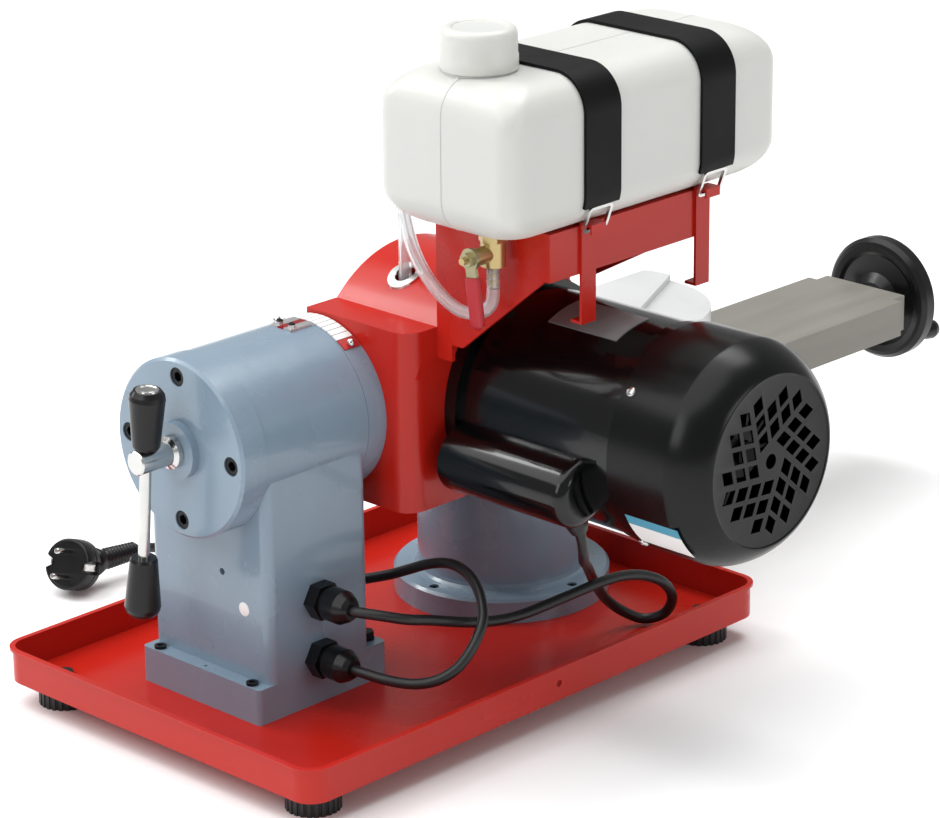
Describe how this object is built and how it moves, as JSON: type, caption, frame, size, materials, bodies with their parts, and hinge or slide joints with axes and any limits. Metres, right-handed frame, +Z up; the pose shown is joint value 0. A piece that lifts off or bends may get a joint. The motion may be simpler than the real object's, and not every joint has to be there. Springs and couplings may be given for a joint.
{
  "type": "wet grinding saw blade sharpener",
  "caption": "Wet grinding sharpener for circular saw blades: tilting motor head with coolant tank, cast stand, blade carriage on a screw-driven swivel arm, red tray.",
  "frame": {"origin": "on the floor under the middle of the machine: halfway along it and across it, cord and plug left out", "axes": "+X from the clamp lever along the blade arm to the handwheel, +Y from the motor fan towards the operator and the switch, +Z up"},
  "size_m": [0.8403, 0.5856, 0.4933],
  "materials": {
    "red_paint": "gloss red enamel",
    "blue_grey_paint": "gloss blue-grey enamel on casting",
    "black_paint": "gloss black enamel",
    "ground_steel": "ground steel",
    "bright_steel": "zinc plated or polished steel",
    "silver_paint": "satin silver",
    "tank_plastic": "translucent polyethylene",
    "brass": "turned brass",
    "rubber": "black rubber",
    "strap_web": "black elastic webbing",
    "black_plastic": "moulded black plastic",
    "clear_hose": "clear flexible tube",
    "green_plastic": "green push button",
    "red_plastic": "red push button",
    "copper_winding": "stator with copper winding",
    "white_print": "printed scale plate",
    "label": "blank metal plate",
    "abrasive": "bonded abrasive rim on a disc"
  },
  "bodies": {
    "base": {"tray": "red_paint", "feet": "rubber", "stand": "blue_grey_paint", "stand_bolts": "bright_steel", "end_cap": "blue_grey_paint", "cap_screws": "bright_steel", "pointer_plate": "bright_steel", "upper_gland": "black_plastic", "lower_gland": "black_plastic", "pedestal": "blue_grey_paint", "pedestal_bolts": "bright_steel", "switch_box": "black_plastic", "motor_cable": "rubber", "mains_lead": "rubber", "mains_plug": "rubber"},
    "start": {"start_button": "green_plastic"},
    "stop": {"stop_button": "red_plastic"},
    "clamp": {"clamp_hub": "bright_steel"},
    "clamp_bar": {"lever_bar": "bright_steel", "lever_grips": "black_plastic"},
    "head": {"tilt_spindle": "blue_grey_paint", "angle_scale": "white_print", "head_housing": "red_paint", "hood_grommet": "rubber", "motor_front_bell": "black_paint", "motor_shell": "black_paint", "stator": "copper_winding", "motor_rear_bell": "black_paint", "motor_bearings": "bright_steel", "motor_bolts": "bright_steel", "fan_cover": "black_paint", "fan_cover_screws": "bright_steel", "capacitor_cover": "black_paint", "capacitor": "black_plastic", "motor_nameplate": "label", "cable_outlet": "rubber", "tank_bracket": "red_paint", "bracket_bolts": "bright_steel", "coolant_tank": "tank_plastic", "straps": "strap_web", "strap_rings": "bright_steel", "strap_hooks": "red_paint", "valve_body": "brass", "coolant_hose": "clear_hose"},
    "spindle": {"rotor": "ground_steel", "cooling_fan": "black_plastic", "grinding_wheel": "abrasive", "wheel_flange": "ground_steel", "wheel_nut": "bright_steel"},
    "valve": {"valve_lever": "red_plastic"},
    "cap": {"tank_cap": "tank_plastic"},
    "arm": {"swivel_plate": "ground_steel", "arm_channel": "ground_steel", "arm_end_plate": "ground_steel"},
    "screw": {"lead_screw": "bright_steel", "handwheel": "black_plastic"},
    "crank": {"crank_handle": "black_plastic"},
    "carriage": {"carriage": "ground_steel", "blade_table": "silver_paint", "table_pin": "bright_steel"}
  },
  "joints": [
    {"name": "start_press", "type": "slide", "parent": "base", "child": "start", "axis": [0, -1, 0], "range_m": [0, 0.003], "stiffness_N_per_m": 300},
    {"name": "stop_press", "type": "slide", "parent": "base", "child": "stop", "axis": [0, -1, 0], "range_m": [0, 0.003], "stiffness_N_per_m": 300},
    {"name": "clamp_turn", "type": "hinge", "parent": "base", "child": "clamp", "pos_m": [-0.39015, 0.0845, 0.209], "axis": [1, 0, 0], "range_deg": [-75, 75]},
    {"name": "lever_slide", "type": "slide", "parent": "clamp", "child": "clamp_bar", "axis": [0, -0.0872, 0.9962], "range_m": [0, 0.062]},
    {"name": "head_tilt", "type": "hinge", "parent": "base", "child": "head", "pos_m": [-0.29215, 0.0845, 0.209], "axis": [1, 0, 0], "range_deg": [-15, 15], "deforming": ["motor_cable"]},
    {"name": "wheel_spin", "type": "hinge", "parent": "head", "child": "spindle", "pos_m": [-0.11815, -0.0105, 0.209], "axis": [0, 1, 0], "continuous": true},
    {"name": "valve_turn", "type": "hinge", "parent": "head", "child": "valve", "pos_m": [-0.24015, -0.0655, 0.344], "axis": [1, 0, 0], "range_deg": [-70, 20]},
    {"name": "cap_lift", "type": "slide", "parent": "head", "child": "cap", "axis": [0, 0, 1], "range_m": [0, 0.06]},
    {"name": "arm_swivel", "type": "hinge", "parent": "base", "child": "arm", "pos_m": [-0.05615, 0.0845, 0.11], "axis": [0, 0, 1], "range_deg": [-10, 20]},
    {"name": "screw_turn", "type": "hinge", "parent": "arm", "child": "screw", "pos_m": [0.18185, 0.0845, 0.1365], "axis": [1, 0, 0], "range_deg": [-4680, 11160]},
    {"name": "carriage_slide", "type": "slide", "parent": "arm", "child": "carriage", "axis": [1, 0, 0], "range_m": [-0.0651, 0.1551]},
    {"name": "crank_spin", "type": "hinge", "parent": "screw", "child": "crank", "pos_m": [0.41185, 0.0514, 0.11064], "axis": [1, 0, 0], "continuous": true}
  ],
  "couplings": [
    {"joint": "carriage_slide", "follows": "screw_turn", "m_per_rad": 0.00079577}
  ]
}
